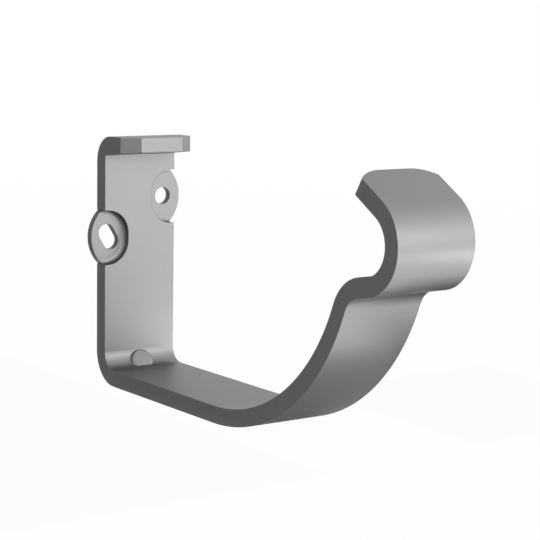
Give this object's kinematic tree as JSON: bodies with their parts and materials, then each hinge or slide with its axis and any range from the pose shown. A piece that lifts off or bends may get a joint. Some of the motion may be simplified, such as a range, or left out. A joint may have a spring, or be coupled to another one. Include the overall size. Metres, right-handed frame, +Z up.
{
  "type": "gutter bracket",
  "caption": "Fascia bracket bent from flat metal strip: it carries an ogee rain gutter on its floor and belly and wraps the rolled front bead in a curl.",
  "frame": {"origin": "middle of the flat back, where the bracket seats on the fascia board", "axes": "+X forward from the fascia, +Y along the gutter towards the ear with the round hole, +Z up"},
  "size_m": [0.1462, 0.0318, 0.0774],
  "materials": {
    "metal": "blasted and anodised, satin mid grey"
  },
  "bodies": {
    "root": {"bracket": "metal"}
  },
  "joints": []
}
